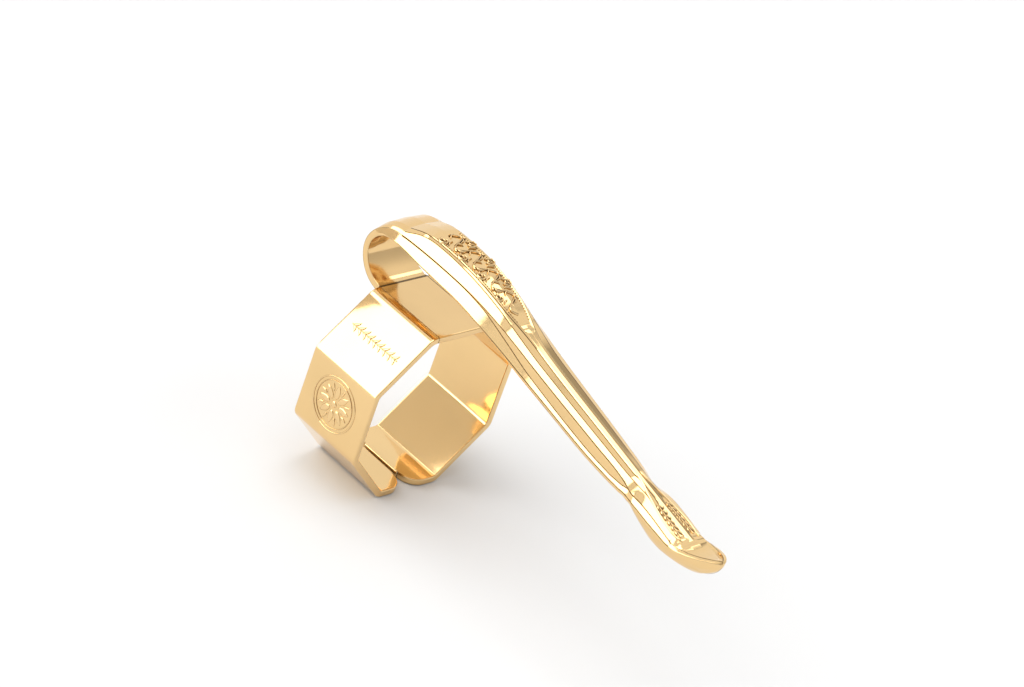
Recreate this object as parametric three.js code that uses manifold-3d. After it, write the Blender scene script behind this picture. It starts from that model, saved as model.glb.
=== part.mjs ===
// A pocket clip for an eight-sided pen cap, folded from one strip of plated sheet brass.
// The strip makes an eight-sided band that springs over the cap, a loop behind the band that acts as the
// spring, and a channel-shaped arm that runs forward over the band to a rounded foot.
// Millimetres. +X runs along the pen towards the tip of the arm, +Y is the left side, +Z is up.
// The origin is the centre of the band, on the pen's axis. The strip is divided along its fold lines.

import * as THREE from "three";
import { mergeVertices } from "three/addons/utils/BufferGeometryUtils.js";
import Module from "manifold-3d";

const wasm = await Module();
wasm.setup();

// Driving dimensions.
const SHEET = 0.5;
const CAP_FLATS = 12.4; // across the flats of the cap that the band grips
const BAND_WIDTH = 6.3; // along the pen
const JOIN_GAP = 0.1; // between two neighbouring stretches of the strip
const SEAM_GAP = 0.3; // between the two tabs under the pen
const FOLD = Math.PI / 4;
const TOP_FOLD_RADIUS = 1.05; // to the middle of the sheet, beside the top wall
const LOW_FOLD_RADIUS = 0.65; // to the middle of the sheet, at the other folds
const TAB_CORNER = 1.4;
const MEDALLION = { outer: 2.0, inner: 1.75, rise: 0.1 };

const LOOP_WIDTH = 4.4;
const LOOP_RADIUS = 2.2; // to the middle of the sheet

// The arm's long lines, as points along X: half of the width, then height. The edge is where the top meets
// the side flanges, and the ridge is the bend beside the middle. SHOULDER is the height at which the panels
// start, inside the flanges' folds.
const EDGE = [
  [-3.25, 2.06, 11.02],
  [0, 2.0, 11.085],
  [4, 1.8, 10.8],
  [8, 1.585, 10.0],
  [12, 1.455, 8.97],
  [16, 1.34, 8.02],
  [19.5, 1.17, 7.17],
  [22, 1.22, 6.62],
];
const SHOULDER = [
  [-3.25, 11.43],
  [0, 11.88],
  [4, 11.56],
  [8, 10.34],
  [12, 9.12],
  [16, 8.17],
  [19.5, 7.33],
  [22, 6.79],
];
const RIDGE = [
  [-3.25, 1.1, 11.5],
  [0, 1.0, 12.0],
  [4, 0.9, 11.7],
  [6.5, 0.72, 11.03],
  [8, 0.45, 10.46],
  [12, 0.285, 9.29],
  [19.5, 0.24, 7.54],
  [22, 0.2, 6.97],
];
const CREST_RISE = 0.05; // of the middle above the ridge lines
const FLANGE_DEPTH = [
  [-3.25, 0.7],
  [0, 0.95],
  [4, 1.3],
  [10, 1.46],
  [16, 1.42],
  [20, 1.05],
  [22, 1.0],
];
const ARM_SPLIT_X = 9.2; // where the ornament field ends and the ridged stretch starts
const ARM_END_X = 22;

const FOOT = { centreX: 25, centreZ: 6.05, halfLength: 4.1, halfWidth: 1.66, halfHeight: 2.1 };
const FOOT_BOTTOM_Z = 4.6;
const FOOT_TOP_Z = 6.62; // where the foot meets the arm
const FOOT_SLOPE = 0.1; // fall of the foot's top for each millimetre forward

// Sizes that follow from the driving dimensions.
const MID_FLATS = CAP_FLATS + SHEET;
const FACE = MID_FLATS * Math.tan(FOLD / 2);
const TOP_TANGENT = TOP_FOLD_RADIUS * Math.tan(FOLD / 2);
const LOW_TANGENT = LOW_FOLD_RADIUS * Math.tan(FOLD / 2);
const TOP_FLAT = FACE - 2 * TOP_TANGENT;
const BAND_BACK_X = -BAND_WIDTH / 2;
const LOOP_OUTER = LOOP_RADIUS + SHEET / 2;
const LOOP_X = BAND_BACK_X - JOIN_GAP;
const LOOP_Z = MID_FLATS / 2 + LOOP_RADIUS;

function plating(colour, roughness) {
  return new THREE.MeshStandardMaterial({ color: colour, metalness: 1, roughness });
}

function goldOutside() {
  return plating(0xe6c184, 0.14);
}

function goldInside() {
  return plating(0xd9b271, 0.24);
}

function meshOf(name, geometry, material) {
  const mesh = new THREE.Mesh(geometry, material);
  mesh.name = name;
  return mesh;
}

// Booleans.

function solidOf(geometry) {
  const bare = geometry.index ? geometry.toNonIndexed() : geometry.clone();
  bare.deleteAttribute("normal");
  bare.deleteAttribute("uv");
  const merged = mergeVertices(bare, 1e-4);
  return new wasm.Manifold(
    new wasm.Mesh({
      numProp: 3,
      vertProperties: new Float32Array(merged.attributes.position.array),
      triVerts: new Uint32Array(merged.index.array),
    }),
  );
}

function geometryOf(solid) {
  const { vertProperties, triVerts, numProp } = solid.getMesh();
  const positions = new Float32Array((vertProperties.length / numProp) * 3);
  for (let i = 0; i * numProp < vertProperties.length; i++) {
    positions.set(vertProperties.subarray(i * numProp, i * numProp + 3), i * 3);
  }
  const indexed = new THREE.BufferGeometry();
  indexed.setAttribute("position", new THREE.BufferAttribute(positions, 3));
  indexed.setIndex(new THREE.BufferAttribute(new Uint32Array(triVerts), 1));
  const geometry = indexed.toNonIndexed();
  geometry.computeVertexNormals();
  return geometry;
}

// The folded strip. A stretch of strip is a list of steps along the middle of the sheet: a flat, or a fold
// that turns clockwise. Its outline lies in local XY, and its width runs along local Z.

function polar(length, angle) {
  return new THREE.Vector2(Math.cos(angle) * length, Math.sin(angle) * length);
}

function walk(steps) {
  let at = new THREE.Vector2();
  let heading = 0;
  const passed = steps.map((step) => {
    const start = { step, at, heading };
    if (step.fold) {
      start.centre = at.clone().add(polar(step.radius, heading - Math.PI / 2));
      heading -= step.fold;
      at = start.centre.clone().add(polar(step.radius, heading + Math.PI / 2));
    } else {
      at = at.clone().add(polar(step.flat, heading));
    }
    return { ...start, end: at, endHeading: heading };
  });
  return { passed, end: at, heading };
}

function beside(point, heading, distance) {
  return point.clone().add(polar(distance, heading + Math.PI / 2));
}

function addSide(shape, stretch, offset, backwards) {
  const { step, at, heading, centre, end, endHeading } = stretch;
  if (step.fold) {
    const angles = [heading + Math.PI / 2, endHeading + Math.PI / 2];
    const [from, to] = backwards ? angles.reverse() : angles;
    shape.absarc(centre.x, centre.y, step.radius + offset, from, to, !backwards);
    return;
  }
  const point = backwards ? beside(at, heading, offset) : beside(end, endHeading, offset);
  shape.lineTo(point.x, point.y);
}

function stripGeometry(steps, width, segments = 6) {
  const { passed, end, heading } = walk(steps);
  const shape = new THREE.Shape();
  shape.moveTo(0, -SHEET / 2);
  shape.lineTo(0, SHEET / 2);
  for (const stretch of passed) {
    addSide(shape, stretch, SHEET / 2, false);
  }
  const corner = beside(end, heading, -SHEET / 2);
  shape.lineTo(corner.x, corner.y);
  for (const stretch of [...passed].reverse()) {
    addSide(shape, stretch, -SHEET / 2, true);
  }
  const geometry = new THREE.ExtrudeGeometry(shape, {
    depth: width,
    bevelEnabled: false,
    curveSegments: segments,
  });
  return geometry.translate(0, 0, -width / 2);
}

// A frame at the end of a stretch of strip, moved on by the join gap.
function frameAfter(steps) {
  const { end, heading } = walk(steps);
  const frame = new THREE.Group();
  const next = end.clone().add(polar(JOIN_GAP, heading));
  frame.position.set(next.x, next.y, 0);
  frame.rotation.z = heading;
  return frame;
}

function lowFold() {
  return { fold: FOLD, radius: LOW_FOLD_RADIUS };
}

// The flat seam tab: its free corners are rounded.
function seamTabGeometry(length, width) {
  const shape = new THREE.Shape();
  const edge = width / 2;
  shape.moveTo(0, -edge);
  shape.lineTo(length - TAB_CORNER, -edge);
  shape.absarc(length - TAB_CORNER, -edge + TAB_CORNER, TAB_CORNER, -Math.PI / 2, 0, false);
  shape.absarc(length - TAB_CORNER, edge - TAB_CORNER, TAB_CORNER, 0, Math.PI / 2, false);
  shape.lineTo(0, edge);
  const geometry = new THREE.ExtrudeGeometry(shape, {
    depth: SHEET,
    bevelEnabled: false,
    curveSegments: 8,
  });
  geometry.translate(0, 0, -SHEET / 2);
  return geometry.rotateX(Math.PI / 2);
}

// A raised ring in the middle of a side wall.
function medallionGeometry(alongStrip) {
  const shape = new THREE.Shape();
  shape.absarc(0, 0, MEDALLION.outer, 0, 2 * Math.PI, false);
  const hole = new THREE.Path();
  hole.absarc(0, 0, MEDALLION.inner, 0, 2 * Math.PI, true);
  shape.holes.push(hole);
  const geometry = new THREE.ExtrudeGeometry(shape, {
    depth: MEDALLION.rise + SHEET / 2,
    bevelEnabled: false,
    curveSegments: 24,
  });
  geometry.rotateX(-Math.PI / 2);
  return geometry.translate(alongStrip, 0, 0);
}

function sideWallGeometry(steps, flat) {
  const { end, heading } = walk(steps);
  const middle = end.clone().add(polar(-flat / 2, heading));
  const ring = medallionGeometry(0);
  ring.rotateZ(heading);
  ring.translate(middle.x, middle.y, 0);
  const wall = solidOf(stripGeometry(steps, BAND_WIDTH));
  return geometryOf(wall.add(solidOf(ring)));
}

// One jaw of the band, from the fold beside the top wall round to the seam.
function jaw(side, sign) {
  const shoulderFlat = FACE - TOP_TANGENT - LOW_TANGENT - JOIN_GAP;
  const wallFlat = FACE - 2 * LOW_TANGENT - JOIN_GAP;
  const tabFlat = FACE / 2 - LOW_TANGENT - JOIN_GAP - SEAM_GAP / 2;
  const shoulder = [{ fold: FOLD, radius: TOP_FOLD_RADIUS }, { flat: shoulderFlat }];
  const sideWall = [lowFold(), { flat: wallFlat }];
  const lowerWall = [lowFold(), { flat: wallFlat + JOIN_GAP }, lowFold()];

  const start = new THREE.Group();
  const across = new THREE.Vector3(0, sign, 0);
  const outward = new THREE.Vector3(0, 0, 1);
  const along = across.clone().cross(outward);
  start.quaternion.setFromRotationMatrix(new THREE.Matrix4().makeBasis(across, outward, along));
  start.position.set(0, sign * (TOP_FLAT / 2), MID_FLATS / 2);
  start.add(meshOf(`${side}_shoulder_wall`, stripGeometry(shoulder, BAND_WIDTH), goldOutside()));

  const afterShoulder = frameAfter(shoulder);
  start.add(afterShoulder);
  afterShoulder.add(meshOf(`${side}_side_wall`, sideWallGeometry(sideWall, wallFlat), goldOutside()));

  const afterSide = frameAfter(sideWall);
  afterShoulder.add(afterSide);
  afterSide.add(meshOf(`${side}_lower_wall`, stripGeometry(lowerWall, BAND_WIDTH), goldOutside()));

  const afterLower = frameAfter(lowerWall);
  afterSide.add(afterLower);
  afterLower.add(meshOf(`${side}_seam_tab`, seamTabGeometry(tabFlat, BAND_WIDTH), goldOutside()));
  return start;
}

// The flat top wall, which carries the spring loop.
function topWall() {
  const width = TOP_FLAT - 2 * JOIN_GAP;
  const shape = new THREE.Shape();
  shape.moveTo(BAND_BACK_X, -width / 2);
  shape.lineTo(-BAND_BACK_X, -width / 2);
  shape.lineTo(-BAND_BACK_X, width / 2);
  shape.lineTo(BAND_BACK_X, width / 2);
  const geometry = new THREE.ExtrudeGeometry(shape, { depth: SHEET, bevelEnabled: false });
  const mesh = meshOf("band_top_wall", geometry, goldInside());
  mesh.position.z = CAP_FLATS / 2;
  return mesh;
}

// The arm's outlines.

function curveThrough(points, column) {
  return new THREE.SplineCurve(points.map((point) => new THREE.Vector2(point[0], point[column])));
}

// The value of a curve that runs along X, at x.
function valueAt(curve, x) {
  let low = 0;
  let high = 1;
  for (let i = 0; i < 40; i++) {
    const middle = (low + high) / 2;
    if (curve.getPoint(middle).x < x) {
      low = middle;
    } else {
      high = middle;
    }
  }
  return curve.getPoint(low).y;
}

function lineThrough(points) {
  const half = curveThrough(points, 1);
  const height = curveThrough(points, 2);
  return (x) => ({ half: valueAt(half, x), z: valueAt(height, x) });
}

const edgeLine = lineThrough(EDGE);
const ridgeLine = lineThrough(RIDGE);
const shoulderHeight = curveThrough(SHOULDER, 1);
const flangeDepth = curveThrough(FLANGE_DEPTH, 1);

// The top's section at x, from right to left, as [y, z]: edge, shoulder, ridge, middle and back again.
function crownAt(x) {
  const edge = edgeLine(x);
  const ridge = ridgeLine(x);
  const right = [
    [edge.half, edge.z],
    [edge.half - SHEET - JOIN_GAP, valueAt(shoulderHeight, x)],
    [ridge.half, ridge.z],
  ];
  const left = [...right].reverse();
  return [...right.map(([y, z]) => [-y, z]), [0, ridge.z + CREST_RISE], ...left];
}

// A box of lengthwise stations and crosswise columns, with each corner moved to place(share, column, upper).
function bentBox(stationCount, columnCount, place) {
  const geometry = new THREE.BoxGeometry(1, 1, 1, stationCount, columnCount, 1);
  const positions = geometry.attributes.position;
  for (let i = 0; i < positions.count; i++) {
    const column = Math.round((positions.getY(i) + 0.5) * columnCount);
    const point = place(positions.getX(i) + 0.5, column, positions.getZ(i) > 0);
    positions.setXYZ(i, point.x, point.y, point.z);
  }
  geometry.computeVertexNormals();
  return geometry;
}

// A crowned stretch of the arm's top, between the shoulders.
function topPanel(name, from, to, stationCount) {
  const geometry = bentBox(stationCount, 4, (share, column, upper) => {
    const x = THREE.MathUtils.lerp(from, to, share);
    const [y, z] = crownAt(x)[column + 1];
    return new THREE.Vector3(x, y, upper ? z : z - SHEET);
  });
  return meshOf(name, geometry, goldOutside());
}

// A side flange of the arm. Its upper face leans with the fold, from the edge towards the shoulder.
function flange(name, sign, from, to) {
  const geometry = bentBox(14, 1, (share, column, upper) => {
    const x = THREE.MathUtils.lerp(from, to, share);
    const [edge, shoulder] = crownAt(x).reverse();
    const inner = (sign > 0) !== (column === 1);
    const half = inner ? edge[0] - SHEET : edge[0];
    const leaning = THREE.MathUtils.lerp(edge[1], shoulder[1], SHEET / (SHEET + JOIN_GAP));
    const top = inner ? leaning : edge[1];
    return new THREE.Vector3(x, sign * half, upper ? top : edge[1] - valueAt(flangeDepth, x));
  });
  return meshOf(name, geometry, goldOutside());
}

// The spring loop: a plain quarter turn of strip up behind the band, and a second one that turns forward
// and grows into the crowned section of the arm.
function springLoop() {
  const quarter = [{ fold: Math.PI / 2 - JOIN_GAP / LOOP_RADIUS, radius: LOOP_RADIUS }];
  const start = new THREE.Group();
  const backwards = new THREE.Vector3(-1, 0, 0);
  const outward = new THREE.Vector3(0, 0, -1);
  const across = backwards.clone().cross(outward);
  start.quaternion.setFromRotationMatrix(new THREE.Matrix4().makeBasis(backwards, outward, across));
  start.position.set(LOOP_X, 0, MID_FLATS / 2);
  start.add(meshOf("spring_loop_lower", stripGeometry(quarter, LOOP_WIDTH, 10), goldInside()));
  return start;
}

function upperLoop() {
  const topZ = LOOP_Z + LOOP_OUTER;
  const grown = crownAt(LOOP_X);
  const geometry = bentBox(14, 6, (share, column, upper) => {
    const angle = (Math.PI / 2) * share;
    const growth = THREE.MathUtils.smoothstep(share, 0.1, 1);
    const plain = LOOP_WIDTH * (column / 6 - 0.5);
    const y = THREE.MathUtils.lerp(plain, grown[column][0], growth);
    const rise = THREE.MathUtils.lerp(0, grown[column][1] - topZ, growth);
    const radius = LOOP_OUTER + rise - (upper ? 0 : SHEET);
    return new THREE.Vector3(LOOP_X - Math.cos(angle) * radius, y, LOOP_Z + Math.sin(angle) * radius);
  });
  return meshOf("spring_loop_upper", geometry, goldOutside());
}

// The foot: a hollow rounded shell, closed on top, open behind into the channel and open underneath.
function footShell() {
  const { centreX, centreZ, halfLength, halfWidth: footHalf, halfHeight } = FOOT;
  const egg = (inset) => {
    const geometry = new THREE.SphereGeometry(1, 28, 18);
    geometry.rotateX(Math.PI / 2);
    geometry.scale(halfLength - inset, footHalf - inset, halfHeight - inset);
    return solidOf(geometry.translate(centreX, 0, centreZ));
  };
  const from = ARM_END_X + JOIN_GAP;
  const to = centreX + halfLength + 1;
  const topAt = (x) => FOOT_TOP_Z - FOOT_SLOPE * (x - ARM_END_X);
  const under = (drop, low, back) => {
    const block = bentBox(1, 1, (share, column, upper) => {
      const x = share < 0.5 ? back : to;
      const y = column === 1 ? halfLength : -halfLength;
      return new THREE.Vector3(x, y, upper ? topAt(x) - drop : low);
    });
    return solidOf(block);
  };
  const outer = egg(0).intersect(under(0, FOOT_BOTTOM_Z, from));
  const inner = egg(SHEET).intersect(under(SHEET, FOOT_BOTTOM_Z - 1, from - 1));
  return meshOf("tip_foot", geometryOf(outer.subtract(inner)), goldOutside());
}

function arm() {
  const group = new THREE.Group();
  const back = LOOP_X + JOIN_GAP;
  const front = ARM_SPLIT_X + JOIN_GAP;
  group.add(upperLoop(), footShell());
  group.add(topPanel("arm_rear_panel", back, ARM_SPLIT_X, 18));
  group.add(topPanel("arm_front_panel", front, ARM_END_X, 12));
  for (const [side, sign] of [["left", 1], ["right", -1]]) {
    group.add(flange(`${side}_rear_flange`, sign, back, ARM_SPLIT_X));
    group.add(flange(`${side}_front_flange`, sign, front, ARM_END_X));
  }
  return group;
}

const clip = new THREE.Group();
clip.add(topWall(), springLoop(), jaw("left", 1), jaw("right", -1), arm());

export default clip;
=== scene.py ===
"""The looks of the pocket clip: smooth gold-plated sheet metal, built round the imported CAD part.

Lengths in this file are millimetres unless a comment says metres; meshes are made in metres. +X runs
forward along the pen, +Y is the left side and +Z is up, as in the frame. The strip is made as four pieces:
the top wall with the spring loop, the two jaws of the band, and the arm, which overlaps the loop a little.
Low reliefs lie on the arm and on the band's walls.
"""

import math

import bmesh
import bpy
import numpy as np
from mathutils import Matrix, Vector


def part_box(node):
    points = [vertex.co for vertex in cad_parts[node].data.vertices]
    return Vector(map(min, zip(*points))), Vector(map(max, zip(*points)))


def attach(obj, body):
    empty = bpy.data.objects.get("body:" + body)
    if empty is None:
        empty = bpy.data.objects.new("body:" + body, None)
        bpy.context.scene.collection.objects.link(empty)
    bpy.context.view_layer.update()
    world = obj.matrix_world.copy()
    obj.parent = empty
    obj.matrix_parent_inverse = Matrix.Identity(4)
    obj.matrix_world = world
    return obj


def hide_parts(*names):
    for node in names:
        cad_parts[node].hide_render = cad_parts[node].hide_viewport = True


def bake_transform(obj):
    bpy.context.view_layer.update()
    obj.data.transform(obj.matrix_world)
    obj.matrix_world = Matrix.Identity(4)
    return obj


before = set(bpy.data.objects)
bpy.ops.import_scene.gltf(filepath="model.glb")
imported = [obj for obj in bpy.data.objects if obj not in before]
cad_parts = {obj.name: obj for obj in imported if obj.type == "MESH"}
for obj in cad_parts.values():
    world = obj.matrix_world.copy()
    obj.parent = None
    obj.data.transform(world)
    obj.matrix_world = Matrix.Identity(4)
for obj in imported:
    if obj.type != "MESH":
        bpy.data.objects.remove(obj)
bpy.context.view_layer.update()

MM = 0.001


def corner(node, which):
    """A corner of a CAD node's box, in millimetres: which is 0 for the lowest, 1 for the highest."""
    return np.array(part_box(node)[which]) / MM


# Sizes that the frame sets.
TOP_LOW, TOP_HIGH = corner("band_top_wall", 0), corner("band_top_wall", 1)
BAND_X = TOP_HIGH[0]
SHEET = TOP_HIGH[2] - TOP_LOW[2]
TOP_Z = TOP_HIGH[2]
FLATS = 2 * TOP_LOW[2]
LOOP_LOW, LOOP_HIGH = corner("spring_loop_lower", 0), corner("spring_loop_upper", 1)
LOOP_OUTER = (LOOP_HIGH[2] - LOOP_LOW[2]) / 2
LOOP_Z = (LOOP_HIGH[2] + LOOP_LOW[2]) / 2
LOOP_X = corner("spring_loop_upper", 0)[0] + LOOP_OUTER
LOOP_HALF = LOOP_HIGH[1]
FOOT_LOW = corner("tip_foot", 0)

# Folds, to the middle of the sheet.
FOLD = math.pi / 4
TOP_FOLD = 1.05
LOW_FOLD = 0.65
FOLD_STEPS, FLAT_STEPS = 12, 14
SEAM_GAP = 0.3
TAB_CORNER = 1.4
EDGE_ROUND = 0.11
LEAST_REACH = 0.035  # of a corner's rounding, to either side of it
CORNER_STEPS = 6  # points on a corner's curve
CORNER_POINTS = CORNER_STEPS + 4  # with the two beside the curve on either side
# Where those stand, the far one first: times the curve's reach, and at most this share of the side.
CORNER_SUPPORTS = ((2.4, 0.49), (1.3, 0.475))
# How far the loop and the arm each run past the place where they meet, and how deep each dives at its end.
JOIN, JOIN_DIVE = 0.35, 0.05

# The foot's hull: half an egg forward of its middle, and a section that opens into the flanges behind it.
HULL = {"x": 25.0, "z": 6.05, "length": 4.1, "width": 1.7, "height": 2.1, "rim": FOOT_LOW[2] + 0.02}
HULL_WIDTH = [(20.8, 1.27), (21.4, 1.38), (22.2, 1.57), (23, 1.67), (24, 1.71), (25, 1.7)]
HULL_BOTTOM = [(20.8, 5.9), (21.4, 5.65), (22, 5.2), (23, 4.6), (24, 4.15), (25, 3.95)]
HULL_OPENING = [(20.8, 80), (22, 60), (23, 50), (24, 46), (25, 47)]

# The arm's section at stations along X. Each line is (x, |y|, z) unless it says otherwise.
EDGE = [
    (-3.25, 2.06, 11.02), (-2, 2.04, 11.07), (0, 2.0, 11.085), (2, 1.91, 10.99), (4, 1.8, 10.8),
    (6, 1.69, 10.46), (8, 1.585, 10.0), (10, 1.51, 9.47), (12, 1.455, 8.97), (14, 1.4, 8.49),
    (16, 1.34, 8.02), (18, 1.26, 7.54), (19.5, 1.19, 7.17), (20.4, 1.17, 6.86), (21.1, 1.2, 6.6),
    (22.2, 1.35, 6.55), (23.2, 1.41, 6.42), (24.4, 1.44, 6.13), (25.3, 1.45, 5.88),
]
SHOULDER = [
    (-3.25, 1.93, 11.15), (-2.6, 1.8, 11.38), (-2, 1.66, 11.62), (0, 1.47, 11.88), (2, 1.44, 11.8),
    (4, 1.36, 11.5), (6, 1.24, 11.0), (8, 1.1, 10.33), (10, 0.99, 9.65), (12, 0.94, 9.13),
    (14, 0.9, 8.65), (16, 0.85, 8.175), (18, 0.79, 7.7), (20, 0.73, 7.23), (21.2, 0.68, 7.0),
    (22.4, 0.68, 6.8), (23.4, 0.84, 6.56), (24.6, 1.0, 6.26), (25.6, 0.98, 6.01),
]
RIDGE = [
    (-3.25, 1.3, 11.36), (-2.6, 1.3, 11.6), (-2, 1.27, 11.82), (0, 1.17, 12.04), (2, 1.165, 11.98),
    (4, 1.1, 11.7), (6, 0.96, 11.19), (7, 0.8, 10.86), (8, 0.55, 10.49), (9, 0.36, 10.15),
    (10, 0.3, 9.84), (12, 0.285, 9.31), (16, 0.265, 8.37), (20, 0.235, 7.43), (22, 0.2, 6.97),
    (24, 0.2, 6.52), (26.3, 0.2, 6.0),
]
# Each point from here on is (x, value).
CENTRE_RISE = [(-3.25, 0.08), (0, 0.08), (6, 0.06), (8.5, 0.015), (30, 0.012)]
RIDGE_RISE = [
    (-3.25, 0), (-2, 0.02), (0, 0.08), (7, 0.08), (10, 0.13), (20.2, 0.12), (21, 0.02), (22.5, 0.02),
    (23.1, 0.12), (25.5, 0.12), (26.5, 0),
]
WALL_HEIGHT = [
    (-3.25, 0.03), (-2.8, 0.08), (2.5, 0.08), (5, 0.16), (8, 0.5), (11, 0.76), (16, 0.86), (19, 0.72),
    (20.2, 0.42), (21, 0.05), (30, 0.03),
]
LIP_DROP = [
    (-3.25, 0.5), (0, 0.7), (2, 0.78), (5, 0.8), (8, 0.58), (11, 0.34), (14, 0.25), (19, 0.22),
    (20.4, 0.3), (21.4, 0.42),
]
LIP_FLARE = [(-3.25, 0.26), (0, 0.4), (5, 0.42), (8, 0.32), (12, 0.17), (19, 0.13), (21, 0.15)]
RIM_DROP = [(-3.25, 0.1), (0, 0.12), (6, 0.16), (12, 0.3), (19, 0.3), (21, 0.3)]
FRONT_EDGE_Z = [(25.3, 5.88), (25.75, 5.76), (26.2, 5.74), (26.9, 5.86), (27.85, 6.08), (28.95, 6.31)]
SCOOP_Z = [(26.2, 6.03), (26.6, 5.86), (27.1, 5.8), (27.7, 5.88), (28.3, 6.06), (28.95, 6.3)]
CHAMFER_Z = [
    (21.4, 6.14), (22.2, 6.14), (23.5, 5.97), (24.6, 5.76), (25.5, 5.58), (26, 5.55), (26.9, 5.75),
    (28.95, 6.2),
]

# The sunk field that holds the scroll, the groove under the edge, and how the foot ends.
FIELD = {"from": -1.3, "to": 8.4, "depth": 0.1, "border": 0.13, "ends": (0.5, 0.6)}
GROOVE = {"depth": 0.06, "starts": (-3, -2.4), "ends": (4, 10)}
TIP_BLEND = (20.8, 21.7)  # where the arm's sides turn into the hull
NOSE = {"from": 25.3, "length": 3.66, "half_width": 1.45, "roundness": 0.7}
SCOOP_BLEND, SCOOP_EDGE_BLEND = (25.95, 26.5), (25.5, 26.3)  # where the top sinks into the scoop
CLOSING = (26.2, 27.6)  # where the hollow under the foot closes
LAST_X, LAST_REACH = 27.0, 1.95  # the stations crowd together over this stretch towards the front


def curve(points):
    """A curve through (x, value) points that never swings past them, flat beyond its ends."""
    x = np.array([p[0] for p in points], float)
    y = np.array([p[1] for p in points], float)
    rise = np.diff(y) / np.diff(x)
    slope = np.zeros(len(x))
    for i in range(1, len(x) - 1):
        if rise[i - 1] * rise[i] > 0:
            slope[i] = 2 * rise[i - 1] * rise[i] / (rise[i - 1] + rise[i])

    def value(at):
        at = min(max(at, x[0]), x[-1])
        i = min(int(np.searchsorted(x, at, "right")) - 1, len(x) - 2)
        h = x[i + 1] - x[i]
        t = (at - x[i]) / h
        low = y[i] * (1 + 2 * t) * (1 - t) ** 2 + slope[i] * h * t * (1 - t) ** 2
        return float(low + y[i + 1] * t * t * (3 - 2 * t) + slope[i + 1] * h * t * t * (t - 1))

    return value


def spline(points, column=1):
    """A natural cubic through one column of the points against their first one, flat beyond its ends."""
    x = np.array([p[0] for p in points], float)
    y = np.array([p[column] for p in points], float)
    n = len(x)
    h = np.diff(x)
    a = np.zeros((n, n))
    b = np.zeros(n)
    a[0, 0] = a[-1, -1] = 1
    for i in range(1, n - 1):
        a[i, i - 1 : i + 2] = h[i - 1], 2 * (h[i - 1] + h[i]), h[i]
        b[i] = 6 * ((y[i + 1] - y[i]) / h[i] - (y[i] - y[i - 1]) / h[i - 1])
    m = np.linalg.solve(a, b)

    def value(at):
        at = min(max(at, x[0]), x[-1])
        i = min(int(np.searchsorted(x, at, "right")) - 1, n - 2)
        s, t = x[i + 1] - at, at - x[i]
        return float(
            (m[i] * s**3 + m[i + 1] * t**3) / (6 * h[i])
            + (y[i] / h[i] - m[i] * h[i] / 6) * s
            + (y[i + 1] / h[i] - m[i + 1] * h[i] / 6) * t
        )

    return value


def smoothstep(x, low, high):
    t = min(max((x - low) / (high - low), 0), 1)
    return t * t * (3 - 2 * t)


def mix(a, b, t):
    return a + (b - a) * t


# Meshes.


def mesh_object(name, points, faces, sharp=55, lines=()):
    """A closed mesh from points in millimetres, smooth but for its sharp edges, with its faces pointing out.
    lines are the indices of the faces that take the second material: on the arm, the dark lines painted as
    shade along its creases."""
    mesh = bpy.data.meshes.new(name)
    mesh.from_pydata([tuple(float(c) * MM for c in p) for p in points], [], faces)
    for face in lines:
        mesh.polygons[face].material_index = 1
    bm = bmesh.new()
    bm.from_mesh(mesh)
    bmesh.ops.remove_doubles(bm, verts=bm.verts, dist=2e-7)
    bmesh.ops.recalc_face_normals(bm, faces=bm.faces)
    for face in bm.faces:
        face.smooth = True
    for edge in bm.edges:
        edge.smooth = len(edge.link_faces) == 2 and edge.calc_face_angle(0) < math.radians(sharp)
    bm.to_mesh(mesh)
    bm.free()
    piece = bpy.data.objects.new(name, mesh)
    bpy.context.scene.collection.objects.link(piece)
    return piece


def skin(rings):
    """Points and faces of a body that runs through closed rings, with flat ends."""
    count = len(rings[0])
    points = [p for ring in rings for p in ring]
    faces = [tuple(range(count)), tuple(len(points) - count + i for i in reversed(range(count)))]
    for r in range(len(rings) - 1):
        for i in range(count):
            j = (i + 1) % count
            faces.append((r * count + i, (r + 1) * count + i, (r + 1) * count + j, r * count + j))
    return points, faces


def rounded(points, radii, steps=CORNER_STEPS):
    """A closed outline with every corner rounded by a short curve of steps points."""
    points = [np.array(p, float) for p in points]
    out = []
    for i, p in enumerate(points):
        back, ahead = points[i - 1] - p, points[(i + 1) % len(points)] - p
        long_back, long_ahead = np.linalg.norm(back) + 1e-9, np.linalg.norm(ahead) + 1e-9
        back, ahead = back / long_back, ahead / long_ahead
        half = math.acos(min(max(float(back @ ahead), -1), 1)) / 2
        reach = max(radii[i] / max(math.tan(half), 1e-3), LEAST_REACH)
        reach = max(min(reach, 0.46 * long_back, 0.46 * long_ahead), 1e-4)
        a, b = p + back * reach, p + ahead * reach
        for grow, limit in CORNER_SUPPORTS:
            out.append(p + back * min(grow * reach, limit * long_back))
        for s in np.linspace(0, 1, steps):
            out.append((1 - s) ** 2 * a + 2 * s * (1 - s) * p + s**2 * b)
        for grow, limit in reversed(CORNER_SUPPORTS):
            out.append(p + ahead * min(grow * reach, limit * long_ahead))
    return out


# The band: two jaws from the top wall round to the seam.

MID = FLATS + SHEET
FACE = MID * math.tan(FOLD / 2)
TOP_TANGENT, LOW_TANGENT = TOP_FOLD * math.tan(FOLD / 2), LOW_FOLD * math.tan(FOLD / 2)
TOP_HALF = FACE / 2 - TOP_TANGENT


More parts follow.
